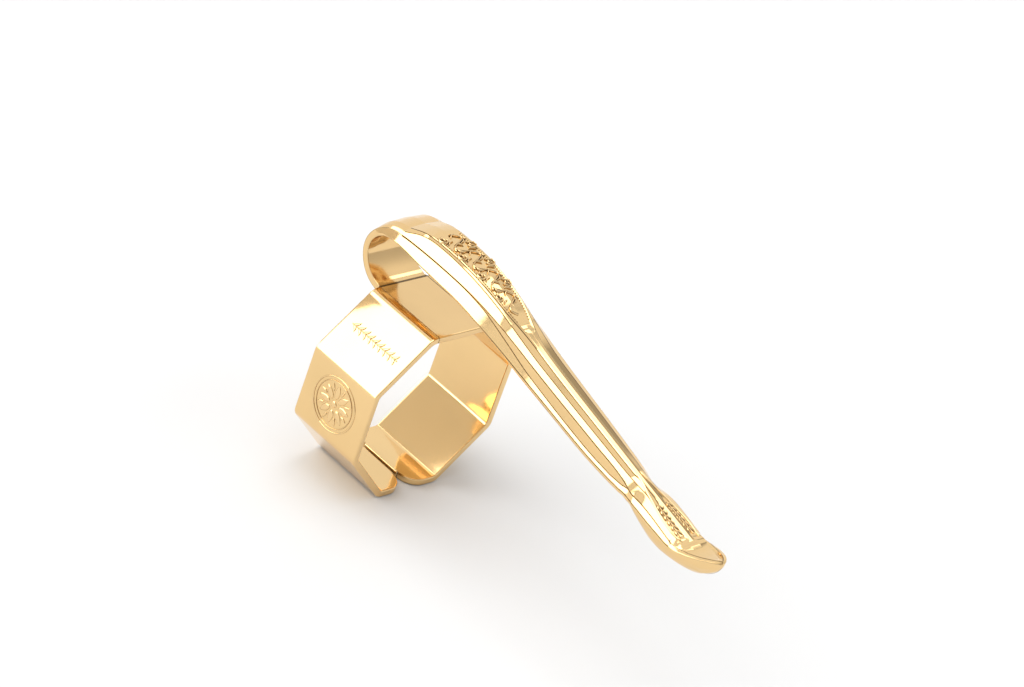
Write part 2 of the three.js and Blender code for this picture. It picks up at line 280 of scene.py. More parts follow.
def jaw_path(side):
    """Stations along the middle of the sheet: (point in YZ, outward normal, length left to the free end)."""
    steps = [  # a fold is (radius, angle), a flat stretch is (0, length)
        (TOP_FOLD, FOLD),
        (0, FACE - TOP_TANGENT - LOW_TANGENT),
        (LOW_FOLD, FOLD),
        (0, FACE - 2 * LOW_TANGENT),
        (LOW_FOLD, FOLD),
        (0, FACE - 2 * LOW_TANGENT),
        (LOW_FOLD, FOLD),
        (0, FACE / 2 - LOW_TANGENT - SEAM_GAP / 2 - EDGE_ROUND),
    ]
    at, heading, run, out = np.array([TOP_HALF, MID / 2]), 0.0, 0.0, []
    out.append((at.copy(), heading, run))
    for radius, size in steps:
        if radius:
            centre = at - radius * np.array([-math.sin(heading), math.cos(heading)])
            for k in range(1, FOLD_STEPS + 1):
                turned = heading - size * k / FOLD_STEPS
                point = centre + radius * np.array([-math.sin(turned), math.cos(turned)])
                out.append((point, turned, run + radius * size * k / FOLD_STEPS))
            at, heading, run = out[-1]
        else:
            ahead = np.array([math.cos(heading), math.sin(heading)])
            marks = [k / FLAT_STEPS for k in range(1, FLAT_STEPS + 1)]
            if size == steps[-1][1]:
                turns = [math.radians(90 * k / FLAT_STEPS) for k in range(FLAT_STEPS + 1)]
                marks = [1 - TAB_CORNER * (1 - math.sin(t)) / size for t in turns]
            for m in marks:
                out.append((at + ahead * size * m, heading, run + size * m))
            at, heading, run = out[-1]
    total = out[-1][2]
    stations = []
    for point, turned, length in out:
        normal = np.array([-math.sin(turned), math.cos(turned)])
        mirror = np.array([side, 1])
        stations.append((point * mirror, normal * mirror, total - length))
    return stations


def strip_ring(point, normal, half, thick):
    """A rounded rectangle across the strip: half wide along X, thick along the normal."""
    h, t = half, thick / 2
    outline = rounded([(-h, -t), (h, -t), (h, t), (-h, t)], [EDGE_ROUND] * 4, 5)
    return [(x, point[0] + normal[0] * n, point[1] + normal[1] * n) for x, n in outline]


def jaw_piece(name, side):
    rings = []
    stations = jaw_path(side)
    for point, normal, left in stations:
        half = BAND_X
        if left < TAB_CORNER:
            half -= TAB_CORNER - math.sqrt(max(TAB_CORNER**2 - (TAB_CORNER - left) ** 2, 0))
        rings.append(strip_ring(point, normal, half, SHEET))
    point, normal, _ = stations[-1]
    for turn in (25, 50, 75, 90):
        out = EDGE_ROUND * (1 - math.cos(math.radians(turn)))
        on = EDGE_ROUND * math.sin(math.radians(turn))
        beyond = point - np.array([side * on, 0])
        rings.append(strip_ring(beyond, normal, BAND_X - TAB_CORNER - out, SHEET - 2 * out))
    return mesh_object(name, *skin(rings))


# The arm and the loop share one section: lines from the rim to the middle, mirrored, and an inner face.

edge_y, edge_z = spline(EDGE, 1), spline(EDGE, 2)
shoulder_y, shoulder_z = spline(SHOULDER, 1), spline(SHOULDER, 2)
ridge_y, ridge_z = spline(RIDGE, 1), spline(RIDGE, 2)
centre_rise, ridge_rise = curve(CENTRE_RISE), curve(RIDGE_RISE)
wall_height, lip_drop = curve(WALL_HEIGHT), curve(LIP_DROP)
lip_flare, rim_drop = curve(LIP_FLARE), curve(RIM_DROP)
front_edge_z, scoop_z, chamfer_z = curve(FRONT_EDGE_Z), curve(SCOOP_Z), curve(CHAMFER_Z)
hull_width, hull_bottom, hull_opening = curve(HULL_WIDTH), curve(HULL_BOTTOM), curve(HULL_OPENING)

HALF_LINES = 11  # lines in the right half of a section, the middle one among them
# The roundings of the creased lines take a dark material: painted dark reflection lines.
CREASED, CREASED_IN_FRONT = (3, 4, 5, 6, 7), (5,)  # places of the creased lines, and of those past SCOOP_FROM
CREASE_FROM, SCOOP_FROM = -3.0, 25.7
UNCREASED_END = 6  # stations at the front that have no crease
OUTER_ROUND = [0.12, 0.3, 0.3, 0.07, 0.04, 0.06, 0.06, 0.04, 0.04, 0.04, 0.03]
NECK, NECK_TURN = 0.35, 0.3  # the fillet at the neck, and the turn of the loop that it needs, in radians
LIP_TURNS = (0.42 * math.pi, 0.96 * math.pi)  # where the loop's plain strip grows into the arm's section
FLAT_CORNERS = (0, 5, 15, 20)  # the plain strip's four edges among its lines
INNER_LINES, INNER_ROUND = (0, 3, 4, 5, 6, 8, 10), 0.1  # the outer lines that the inner face follows


def hull_lines(x, upper):
    """The hull's right half as four (|y|, z), from its rim up to the height upper."""
    if x < HULL["x"]:
        width, bottom = hull_width(x), hull_bottom(x)
        start = math.radians(hull_opening(x))
    else:
        share = math.sqrt(max(1 - ((x - HULL["x"]) / HULL["length"]) ** 2, 1e-6))
        width, bottom = HULL["width"] * share, HULL["z"] - HULL["height"] * share
        start = math.acos(min(max((HULL["z"] - HULL["rim"]) / (HULL["z"] - bottom), 0), 1))
    stop = math.acos(min(max((HULL["z"] - upper) / (HULL["z"] - bottom), -1), 1))
    turns = [mix(start, stop, k / 3) for k in range(4)]
    return [(width * math.sin(t), HULL["z"] - (HULL["z"] - bottom) * math.cos(t)) for t in turns]


def field_depth(x):
    start, end = FIELD["from"], FIELD["to"]
    rear, front = FIELD["ends"]
    return FIELD["depth"] * smoothstep(x, start, start + rear) * (1 - smoothstep(x, end - front, end))


def arm_lines(x):
    """The outer section's right half as (|y|, z), from the rim up to the middle."""
    w, top = edge_y(x), edge_z(x)
    if x > NOSE["from"]:
        u = min((x - NOSE["from"]) / NOSE["length"], 1)
        w, top = NOSE["half_width"] * (1 - u * u) ** NOSE["roundness"], front_edge_z(x)
    low_wall = top - wall_height(x)
    lip_z, lip_y = low_wall - lip_drop(x), w + lip_flare(x)
    rim_z = lip_z - rim_drop(x)
    arm_side = [
        (lip_y - 0.08, rim_z),
        (lip_y - 0.01, mix(rim_z, lip_z, 0.4)),
        (lip_y + 0.01, mix(rim_z, lip_z, 0.7)),
        (lip_y, lip_z),
    ]
    tip = smoothstep(x, *TIP_BLEND)
    side = arm_side
    if tip > 0:
        hull = hull_lines(x, min(chamfer_z(x), top - 0.08))
        side = [tuple(mix(np.array(p), np.array(q), tip)) for p, q in zip(arm_side, hull)]
    crest_z = ridge_z(x) + centre_rise(x)
    ry, rz = ridge_y(x), ridge_z(x)
    sy, sz = shoulder_y(x), shoulder_z(x)
    scoop = smoothstep(x, *SCOOP_BLEND)
    if scoop > 0:
        edge_scoop = smoothstep(x, *SCOOP_EDGE_BLEND)
        crest_z = mix(crest_z, scoop_z(x), scoop)
        rz = mix(rz, scoop_z(x), scoop)
        sy = min(mix(sy, 0.82 * w, edge_scoop), 0.86 * w)
        sz = mix(sz, mix(top, scoop_z(x), 0.8) - 0.05, edge_scoop)
        ry = min(mix(ry, 0.3 * w, scoop), 0.4 * w)
    inside = field_depth(x)
    border = FIELD["border"] * (inside / FIELD["depth"])
    foot = ridge_rise(x) * (1 - scoop)
    ridge_foot = (min(ry + mix(0.09, 0.05, scoop), mix(ry, sy, 0.5)), rz - foot)
    inner_y = ry * 0.5 if border < 0.01 else max(ry - border, ry * 0.5)
    inner_ridge = (inner_y, mix(rz, crest_z, 0.5) - inside)
    middle = (0.0, crest_z - inside)
    groove = GROOVE["depth"] * smoothstep(x, *GROOVE["starts"]) * (1 - smoothstep(x, *GROOVE["ends"]))
    edge = (w if tip < 1 else w - 0.01, top)
    return side + [(w - groove, low_wall), edge, (sy, sz), ridge_foot, (ry, rz), inner_ridge, middle]


def inward(points, distance):
    """Points moved inwards, square to the outline, for the right half of a section."""
    points = [np.array(p, float) for p in points]
    out = []
    for i, p in enumerate(points):
        before = points[i] - points[i - 1] if i else points[1] - points[0]
        after = points[i + 1] - points[i] if i < len(points) - 1 else np.array([-1.0, 0.0])
        if not i:
            before = after
        before, after = before / (np.linalg.norm(before) + 1e-9), after / (np.linalg.norm(after) + 1e-9)
        ahead = before + after
        ahead = ahead / (np.linalg.norm(ahead) + 1e-9)
        normal = np.array([-ahead[1], ahead[0]])
        stretch = min(1 / max(float(ahead @ before), 0.6), 1.5)
        out.append(p + normal * distance * stretch)
    return out


def section(lines, closing=0.0, thinner=0.0):
    """A closed outline round the sheet, and its corners' radii: the outer lines, mirrored, then the inner.
    closing shuts the hollow, and thinner draws both faces of the sheet in."""
    if thinner:
        lines = [tuple(p) for p in inward(lines, thinner)]
        lines[-1] = (0.0, lines[-1][1])
    picked = [lines[k] for k in INNER_LINES]
    inner = inward(picked, SHEET - 2 * thinner)
    inner[-1][0] = 0.0
    floor = lines[0][1]
    shut = []
    for k, (y, z) in enumerate(inner):
        y = max(y, 0.02 * (len(inner) - 1 - k))
        flat_y = max(lines[0][0] - 0.2, 0.05) * (1 - k / (len(inner) - 1)) * 0.8
        shut.append((mix(y, flat_y, closing), max(mix(z, floor + 0.002 * k, closing), floor)))
    shut[0] = (shut[0][0], floor)
    outer = [(-y, z) for y, z in lines] + [(y, z) for y, z in reversed(lines[:-1])]
    hollow = [(y, z) for y, z in shut] + [(-y, z) for y, z in reversed(shut[:-1])]
    radii = OUTER_ROUND + OUTER_ROUND[-2::-1] + [INNER_ROUND] * len(hollow)
    return outer + hollow, radii


def flat_section():
    """The loop's plain strip, in the lines of the arm's section: heights are above the outer face."""
    heights = [-SHEET, -0.8 * SHEET, -0.55 * SHEET, -0.3 * SHEET, -0.12 * SHEET, 0.0]
    lines = [(LOOP_HALF, h) for h in heights]
    lines += [(share * LOOP_HALF, 0.0) for share in (0.8, 0.6, 0.55, 0.3, 0.0)]
    outer = [(-y, z) for y, z in lines] + [(y, z) for y, z in reversed(lines[:-1])]
    inner = [(LOOP_HALF * (0.93 - 0.93 * k / 6), -SHEET) for k in range(7)]
    hollow = inner + [(-y, z) for y, z in reversed(inner[:-1])]
    return outer + hollow


def arm_ring(x, closing=0.0, thinner=0.0):
    points, radii = section(arm_lines(x), closing, thinner)
    return [(x, p[0], p[1]) for p in rounded(points, radii)]


def loop_rings():
    """The rings of the top wall, the neck and the spring loop, and of its overlap with the arm."""
    top = LOOP_Z + LOOP_OUTER
    start_points, radii = section(arm_lines(LOOP_X))
    start_points = [(y, z - top) for y, z in start_points]
    flat = flat_section()
    flat_radii = [EDGE_ROUND if k in FLAT_CORNERS else INNER_ROUND for k in range(len(flat))]
    rings = []

    def ring(origin, normal, share, half=None, inset=0.0):
        grown = [mix(np.array(a), np.array(b), share) for a, b in zip(flat, start_points)]
        if half is not None:
            grown = [np.array((g[0] * half / LOOP_HALF, g[1])) for g in grown]
        if inset:
            thinning = 1 - 2 * inset / SHEET
            grown = [np.array((g[0], (g[1] + SHEET / 2) * thinning - SHEET / 2)) for g in grown]
        corner_radii = [mix(a, b, share) for a, b in zip(flat_radii, radii)]
        outline = rounded(grown, corner_radii)
        return [(origin[0] + normal[0] * h, y, origin[1] + normal[1] * h) for y, h in outline]

    down = np.array([0.0, 1.0])
    for turn in (90, 65, 40, 20, 0):
        inset = EDGE_ROUND * (1 - math.cos(math.radians(turn)))
        x = BAND_X - EDGE_ROUND + EDGE_ROUND * math.sin(math.radians(turn))
        rings.append(ring((x, TOP_Z), down, 0, TOP_HALF, inset))
    for x in np.linspace(BAND_X - 0.6, -BAND_X, 9):
        rings.append(ring((x, TOP_Z), down, 0, TOP_HALF))
    neck_turns, bend_turns = np.linspace(0, NECK_TURN, 10), np.linspace(NECK_TURN, math.pi, 56)
    for turn in np.concatenate([neck_turns, bend_turns[1:]]):
        run = turn * (LOOP_OUTER - SHEET / 2)
        half = LOOP_HALF
        if run < NECK:
            half += NECK - math.sqrt(NECK**2 - (NECK - run) ** 2)
        normal = np.array([-math.sin(turn), -math.cos(turn)])
        origin = np.array([LOOP_X, LOOP_Z]) + normal * LOOP_OUTER
        share = smoothstep(turn, *LIP_TURNS)
        rings.append(ring(origin, normal, share, half if share == 0 else None))
    for on in (0.1, 0.2, JOIN):
        rings.append(arm_ring(LOOP_X + on, 0, JOIN_DIVE * smoothstep(on, 0, JOIN)))
    return rings


clip_loop = mesh_object("clip_spring_loop", *skin(loop_rings()))
clip_right = jaw_piece("clip_right_jaw", -1)
clip_left = jaw_piece("clip_left_jaw", 1)

stations = [LOOP_X - JOIN, LOOP_X - 0.2, LOOP_X - 0.05]
for start, end, pitch in ((LOOP_X + 0.1, 20.0, 0.2), (20.0, 25.0, 0.1), (25.0, LAST_X, 0.06)):
    stations += list(np.arange(start, end, pitch))
stations += [LAST_X + LAST_REACH * math.sin(math.radians(a)) for a in np.linspace(0, 88, 34)]
arm_rings = []
for x in stations:
    dive = JOIN_DIVE * (1 - smoothstep(x, LOOP_X - JOIN, LOOP_X + 0.05))
    arm_rings.append(arm_ring(x, smoothstep(x, *CLOSING), dive))

# The last ring shrinks towards the middle of the front edge.
last = np.array(arm_rings[-1])
end_centre = np.array([last[:, 0].mean(), 0, 6.0])
for grow, on in ((0.8, 0.05), (0.5, 0.1), (0.2, 0.13)):
    shrunk = end_centre + (last - end_centre) * np.array([0, grow, grow]) + np.array([on, 0, 0])
    arm_rings.append([tuple(p) for p in shrunk])


def creases():
    """The faces along the arm's creases: its section's roundings from the lip to the ridge's foot, which take
    the dark material of the painted shade lines.
    """
    found = []
    count = len(arm_rings[0])
    end_faces = 2  # skin() puts these first
    first = next(r for r, x in enumerate(stations) if x > CREASE_FROM)
    for r in range(first, len(stations) - UNCREASED_END):
        creased = CREASED if stations[r] < SCOOP_FROM else CREASED_IN_FRONT
        for i in range(count):
            corner_index, place = divmod(i, CORNER_POINTS)
            line = min(corner_index, 2 * (HALF_LINES - 1) - corner_index)
            if line in creased and 2 <= place < 1 + CORNER_STEPS:
                found.append(end_faces + r * count + i)
    return found


# The crease faces take the second material, whose dark lines are painted shade.
clip_arm = mesh_object("clip_arm", *skin(arm_rings), lines=creases())

# Ornament: plain leaves, stems and rings in low relief, on the arm, the side walls and the right shoulder.


def relief(path, widths, height, place, sink=0.05):
    """A rounded ridge along a path on a surface, sunk a little into it. place(a, b, h) gives the point h
    above the surface at (a, b)."""
    path = [np.array(p, float) for p in path]
    rings = []
    for i, point in enumerate(path):
        ahead = path[min(i + 1, len(path) - 1)] - path[max(i - 1, 0)]
        ahead = ahead / (np.linalg.norm(ahead) + 1e-9)
        side = np.array([-ahead[1], ahead[0]]) * max(widths[i], 0.012)
        tall = height * min(widths[i] / (max(widths) * 0.6), 1) + 0.004
        ring = []
        for turn in np.linspace(0, math.pi, 9):
            at = point + side * math.cos(turn)
            ring.append(place(at[0], at[1], tall * math.sin(turn)))
        for share in (-0.9, 0.9):
            at = point + side * share
            ring.append(place(at[0], at[1], -sink))
        rings.append(ring)
    return skin(rings)


def leaf(start, end, bend, width, steps=11):
    """The path and half widths of a pointed leaf from start to end, bowed sideways by bend."""
    start, end = np.array(start, float), np.array(end, float)
    side = np.array([-(end - start)[1], (end - start)[0]])
    shares = np.linspace(0, 1, steps)
    path = [mix(start, end, t) + side * bend * 4 * t * (1 - t) for t in shares]
    widths = [width * math.sin(math.pi * t**0.8) ** 0.8 if 0 < t < 1 else 0.0 for t in shares]
    return path, widths


def gather(name, parts, sharp=60):
    """One piece from many closed bodies."""
    points, faces = [], []
    for part_points, part_faces in parts:
        faces += [tuple(len(points) + i for i in face) for face in part_faces]
        points += part_points
    return mesh_object(name, points, faces, sharp)


def on_arm(a, b, h):
    """The place on the arm's top at x = a and y = b."""
    lines = arm_lines(a)[6:]
    z = np.interp(abs(b), [p[0] for p in reversed(lines)], [p[1] for p in reversed(lines)])
    return (a, b, float(z) + h)


def on_wall(turned, side):
    """A place function for the flat wall whose outward normal leans turned degrees from straight up."""
    lean = math.radians(turned)
    normal = np.array([side * math.sin(lean), math.cos(lean)])
    down = np.array([side * math.cos(lean), -math.sin(lean)])

    def place(a, b, h):
        point = normal * (MID / 2 + SHEET / 2 + h) - down * b
        return (a, point[0], point[1])

    return place


def curl(x, y, size, side, first):
    """The path and half widths of a spiral stem that starts at (x, y) and winds towards its eye."""
    turns = np.linspace(0, 1.35 * 2 * math.pi, 34)
    path, widths = [], []
    for turn in turns:
        share = turn / turns[-1]
        radius = size * (1 - 0.78 * share)
        lean = first + turn
        eye = (x + size * math.cos(first + math.pi), y + side * size * math.sin(first + math.pi))
        path.append((eye[0] + radius * math.cos(lean), eye[1] + side * radius * math.sin(lean)))
        widths.append(mix(0.07, 0.045, share))
    return path, widths


BAY_LEAVES = [
    # start and end as (x, share of the room across), bend, half width
    ((-0.42, -0.5), (-0.08, 0.15), 0.2, 0.075),
    ((0.1, -0.75), (0.52, -0.15), -0.22, 0.08),
    ((-0.5, 0.75), (-0.2, 0.98), 0.1, 0.07),
    ((0.25, 0.3), (0.5, 0.95), 0.2, 0.07),
    ((0.0, -0.95), (0.3, -0.98), 0.1, 0.06),
]
PARTING = [  # the line on either side that the ridge parts into, as (x, y)
    (20.35, 0.17), (21.2, 0.3), (22.0, 0.5), (22.8, 0.68), (23.6, 0.83), (24.6, 0.97), (25.5, 0.95),
    (26.1, 0.8),
]


def field_scroll():
    """A running scroll with a curl and small leaves in every bay, between two rows of beads."""
    parts = []
    first, last, bay = FIELD["from"] + 0.55, FIELD["to"] - 1.4, 0.98

    def room(x):
        return max(ridge_y(x) - 0.26, 0.12)

    def stem(x):
        return 0.8 * room(x) * math.sin((x - first) * math.pi / bay)

    stem_line = [(x, stem(x)) for x in np.linspace(first, last, 110)]
    parts.append(relief(stem_line, [0.06] * len(stem_line), 0.13, on_arm))
    for k in range(int((last - first) / bay)):
        x = first + bay * (k + 0.5)
        side = -1 if k % 2 == 0 else 1
        size = 0.42 * room(x)
        path, widths = curl(x - 0.1, side * 0.62 * room(x), size, side, -0.5 * math.pi)
        parts.append(relief(path, widths, 0.13, on_arm))
        for start, end, bend, wide in BAY_LEAVES:
            at = (x + start[0], side * start[1] * room(x))
            to = (x + end[0], side * end[1] * room(x + end[0]))
            path, widths = leaf(at, to, bend * side, wide, 9)
            parts.append(relief(path, widths, 0.14, on_arm))
    for x in np.arange(first, FIELD["to"] - 0.9, 0.2):
        for side in (-1, 1):
            y = side * (ridge_y(x) - 0.13)
            path, widths = leaf((x - 0.06, y), (x + 0.06, y), 0, 0.05, 7)
            parts.append(relief(path, widths, 0.07, on_arm))
    return parts


def tip_leaves():
    """The two lines that the ridge parts into, and a small branch on either side of the crest."""
    parts = []
    start, end = PARTING[0][0], PARTING[-1][0]
    across = spline(PARTING)
    line_x = np.linspace(start, end, 60)
    line_widths = [0.07 * min((x - start + 0.05) / 0.3, 1) * min((end + 0.05 - x) / 0.4, 1) for x in line_x]

    def rib(x):
        return mix(0.42, 0.6, (x - 22.7) / 3)

    for side in (-1, 1):
        parts.append(relief([(x, side * across(x)) for x in line_x], line_widths, 0.06, on_arm))
        rib_line = [(x, side * rib(x)) for x in np.linspace(23.0, 25.7, 24)]
        parts.append(relief(rib_line, [0.04] * len(rib_line), 0.07, on_arm))
        for k in range(6):
            x = 23.05 + 0.42 * k
            for out in (-1, 1):
                to = (x + 0.42, side * (rib(x) + 0.21 * out))
                path, widths = leaf((x, side * rib(x)), to, 0.16 * out * side, 0.085, 9)
                parts.append(relief(path, widths, 0.1, on_arm))
    return parts


PETALS = [  # lean, inner and outer radius, half width, height
    (0, 0.42, 1.5, 0.24, 0.07),
    (math.pi / 8, 0.95, 1.55, 0.09, 0.06),
]


def rosette(place):
    """Two rings round eight petals, with a small leaf between each two."""
    parts = []
    for radius, wide in ((2.0, 0.05), (1.72, 0.03)):
        ring = [(radius * math.cos(t), radius * math.sin(t)) for t in np.linspace(0, 2 * math.pi, 97)]
        parts.append(relief(ring, [wide] * len(ring), 0.05, place))
    for k in range(8):
        for lean, inner, outer, wide, height in PETALS:
            turn = 2 * math.pi * k / 8 + lean
            out = np.array([math.cos(turn), math.sin(turn)])
            path, widths = leaf(out * inner, out * outer, 0, wide)
            parts.append(relief(path, widths, height, place))
    path, widths = leaf((-0.26, 0), (0.26, 0), 0, 0.26)
    parts.append(relief(path, widths, 0.08, place))
    return parts


def sprig(place):
    """A straight stem with nine pairs of leaves."""
    parts = [relief([(x, 0) for x in np.linspace(-2.3, 2.3, 30)], [0.035] * 30, 0.06, place)]
    for k in range(9):
        x = -2.2 + 0.5 * k
        for side in (-1, 1):
            path, widths = leaf((x, 0.03 * side), (x + 0.42, 0.42 * side), -0.18 * side, 0.1)
            parts.append(relief(path, widths, 0.06, place))
    return parts


arm_ornament = gather("arm_scroll_relief", field_scroll() + tip_leaves())
right_rosette = gather("right_rosette_relief", rosette(on_wall(90, -1)))
left_rosette = gather("left_rosette_relief", rosette(on_wall(90, 1)))
right_sprig = gather("right_sprig_relief", sprig(on_wall(45, -1)))

# Materials. Lengths are metres from here on.

# Painted shade: the plating's colour turns dark brown in thin lines along its edges, standing in for the dark
# surroundings that the roundings reflect.
EDGE_RADIUS, EDGE_TURN = 0.00011, (0.93, 0.993)  # cosines of the turn between which an edge line fades out
# Painted shade: the colour also darkens in crevices, where other surfaces crowd close and shade falls.
CREVICE_REACH, CREVICE_OPEN, CREVICE_SHARE = 0.00022, (0.25, 0.85), 0.85  # share of its colour in the deepest
DOWNWARD = (-0.98, -0.9)  # faces that look straight down rest on something, which isn't a crevice
# The dark browns of the painted edge lines and of the painted crevice shade.
EDGE_SHADE_COLOUR, CREVICE_SHADE_COLOUR = (0.07, 0.038, 0.012, 1), (0.09, 0.045, 0.014, 1)
CLOUD_SCALE, GRAIN_SCALE = 180, 180 * 30


def gold(name, base, rough, line):
    """Polished plating: clouded colour, a fine grain in gloss and height, and painted shade: thin dark lines
    along the edges for the dark surroundings that their roundings reflect, and darkening in crevices. line
    sets how dark the painted edge lines get.
    """
    material = bpy.data.materials.new(name)
    material.use_nodes = True
    nodes, links = material.node_tree.nodes, material.node_tree.links
    nodes.clear()

    def add(kind, inputs=(), **settings):
        node = nodes.new(kind)
        for setting, value in settings.items():
            setattr(node, setting, value)
        for socket, value in dict(inputs).items():
            node.inputs[socket].default_value = value
        return node

    def remap(low, high, to_low, to_high):
        limits = {"From Min": low, "From Max": high, "To Min": to_low, "To Max": to_high}
        return add("ShaderNodeMapRange", limits)

    out = add("ShaderNodeOutputMaterial")
    shader = add("ShaderNodeBsdfPrincipled", {"Metallic": 1.0, "IOR": 1.5})
    coords = add("ShaderNodeTexCoord")
    surface = add("ShaderNodeNewGeometry")
    cloud = add("ShaderNodeTexNoise", {"Scale": CLOUD_SCALE, "Detail": 5})
    ramp = add("ShaderNodeValToRGB")
    for element, position, tint in zip(ramp.color_ramp.elements, (0.3, 0.72), (0.95, 1.03)):
        element.position = position
        element.color = (*[min(c * tint, 1) for c in base], 1)
    # Painted shade along the edges: where the rounded normal turns away from the surface's own, the colour is
    # mixed towards dark brown.
    softened = add("ShaderNodeBevel", {"Radius": EDGE_RADIUS}, samples=8)
    turned = add("ShaderNodeVectorMath", operation="DOT_PRODUCT")
    edge = remap(*EDGE_TURN, line, 0.0)
    painted_edge_shade = add("ShaderNodeMix", data_type="RGBA")
    painted_edge_shade.inputs["B"].default_value = EDGE_SHADE_COLOUR
    # Painted shade in crevices: where other surfaces lie close, the colour is mixed towards dark brown,
    # except on faces that look straight down.
    crevice = add("ShaderNodeAmbientOcclusion", {"Distance": CREVICE_REACH}, samples=8)
    depth = remap(*CREVICE_OPEN, CREVICE_SHARE, 0.0)
    upright = add("ShaderNodeSeparateXYZ")
    resting = remap(*DOWNWARD, 0.0, 1.0)
    open_depth = add("ShaderNodeMath", operation="MULTIPLY")
    painted_crevice_shade = add("ShaderNodeMix", data_type="RGBA")
    painted_crevice_shade.inputs["B"].default_value = CREVICE_SHADE_COLOUR
    fine = add("ShaderNodeTexNoise", {"Scale": GRAIN_SCALE, "Detail": 8})
    haze = remap(0.3, 0.75, rough * 0.75, rough * 1.3)
    bump = add("ShaderNodeBump", {"Strength": 0.02, "Distance": 0.00004})
    for source, target in (
        (coords.outputs["Object"], cloud.inputs["Vector"]),
        (cloud.outputs["Fac"], ramp.inputs["Fac"]),
        (softened.outputs["Normal"], turned.inputs[0]),
        (surface.outputs["Normal"], turned.inputs[1]),
        (turned.outputs["Value"], edge.inputs["Value"]),
        (edge.outputs["Result"], painted_edge_shade.inputs["Factor"]),
        (ramp.outputs["Color"], painted_edge_shade.inputs["A"]),
        (crevice.outputs["AO"], depth.inputs["Value"]),
        (surface.outputs["Normal"], upright.inputs["Vector"]),
        (upright.outputs["Z"], resting.inputs["Value"]),
        (depth.outputs["Result"], open_depth.inputs[0]),
        (resting.outputs["Result"], open_depth.inputs[1]),
        (open_depth.outputs["Value"], painted_crevice_shade.inputs["Factor"]),
        (painted_edge_shade.outputs["Result"], painted_crevice_shade.inputs["A"]),
        (painted_crevice_shade.outputs["Result"], shader.inputs["Base Color"]),
        (coords.outputs["Object"], fine.inputs["Vector"]),
        (fine.outputs["Fac"], haze.inputs["Value"]),
        (haze.outputs["Result"], shader.inputs["Roughness"]),
        (fine.outputs["Fac"], bump.inputs["Height"]),
        (bump.outputs["Normal"], shader.inputs["Normal"]),
        (shader.outputs["BSDF"], out.inputs["Surface"]),
    ):
        links.new(source, target)
    return material


gold_outside = gold("gold_outside", (0.86, 0.6, 0.29), 0.08, 0.9)
gold_inside = gold("gold_inside", (0.84, 0.575, 0.275), 0.11, 0.9)
# A dark brown copy of the plating for the arm's crease roundings: painted shade, the dark reflection lines of
# the creases.
gold_crease_shade_lines = gold("gold_crease_shade_lines", (0.13, 0.065, 0.02), 0.25, 0.3)
gold_relief = gold("gold_relief", (0.88, 0.62, 0.31), 0.09, 0.4)

# Bodies.

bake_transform(clip_loop)
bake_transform(clip_right)
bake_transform(clip_left)
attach(clip_arm, "arm")
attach(arm_ornament, "arm")
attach(right_rosette, "right_jaw")
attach(right_sprig, "right_jaw")
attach(left_rosette, "left_jaw")

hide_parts("band_top_wall", "spring_loop_lower", "spring_loop_upper")
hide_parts("right_shoulder_wall", "right_side_wall", "right_lower_wall", "right_seam_tab")
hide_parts("left_shoulder_wall", "left_side_wall", "left_lower_wall", "left_seam_tab")
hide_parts("arm_rear_panel", "arm_front_panel", "right_rear_flange", "right_front_flange",
            "left_rear_flange", "left_front_flange", "tip_foot")
clip_loop.data.materials.append(gold_inside)
for piece in (clip_right, clip_left, clip_arm):
    piece.data.materials.append(gold_outside)
# The arm's crease faces take the dark copy: painted dark reflection lines.
clip_arm.data.materials.append(gold_crease_shade_lines)
for piece in (arm_ornament, right_rosette, left_rosette, right_sprig):
    piece.data.materials.append(gold_relief)

# Studio.

FLOOR_HALF, FLOOR_GAP, FLOOR_COLOUR = 2.0, 0.02 * MM, (0.7, 0.7, 0.7, 1)
CARD_HALF, CARD_COLOUR = 0.0045, (0.85, 0.83, 0.8, 1)
CARD_AT, CARD_AIM = (-0.0135, -0.008, 0.0115), (0, 0.0044, -0.0044)


def plate(name, half, colour):
    """A matt square plate of half the width either way, and its material."""
    mesh = bpy.data.meshes.new(name)
    corners = [(-half, -half, 0), (half, -half, 0), (half, half, 0), (-half, half, 0)]
    mesh.from_pydata(corners, [], [(0, 1, 2, 3)])
    thing = bpy.data.objects.new(name, mesh)
    bpy.context.scene.collection.objects.link(thing)
    material = bpy.data.materials.new(name)
    material.use_nodes = True
    shader = material.node_tree.nodes["Principled BSDF"]
    shader.inputs["Base Color"].default_value = colour
    shader.inputs["Roughness"].default_value = 0.9
    mesh.materials.append(material)
    return thing, material


def see_through_from_behind(material):
    nodes, links = material.node_tree.nodes, material.node_tree.links
    clear = nodes.new("ShaderNodeBsdfTransparent")
    sides = nodes.new("ShaderNodeNewGeometry")
    one_sided = nodes.new("ShaderNodeMixShader")
    links.new(sides.outputs["Backfacing"], one_sided.inputs["Fac"])
    links.new(nodes["Principled BSDF"].outputs["BSDF"], one_sided.inputs[1])
    links.new(clear.outputs["BSDF"], one_sided.inputs[2])
    links.new(one_sided.outputs["Shader"], nodes["Material Output"].inputs["Surface"])


floor, floor_material = plate("studio_floor", FLOOR_HALF, FLOOR_COLOUR)
floor.location.z = -(FLATS / 2 + SHEET) * MM - FLOOR_GAP
see_through_from_behind(floor_material)

# A card behind the band keeps the softbox off the band's inner walls, as a photographer's flag does.
card, _ = plate("studio_card", CARD_HALF, CARD_COLOUR)
card.location = CARD_AT
card.rotation_euler = (Vector(CARD_AIM) - Vector(CARD_AT)).to_track_quat("-Z", "Y").to_euler()
card.visible_camera = False
card.visible_diffuse = False

# The surroundings: pale walls, a dim patch, and softboxes with a dark frame, placed by direction.

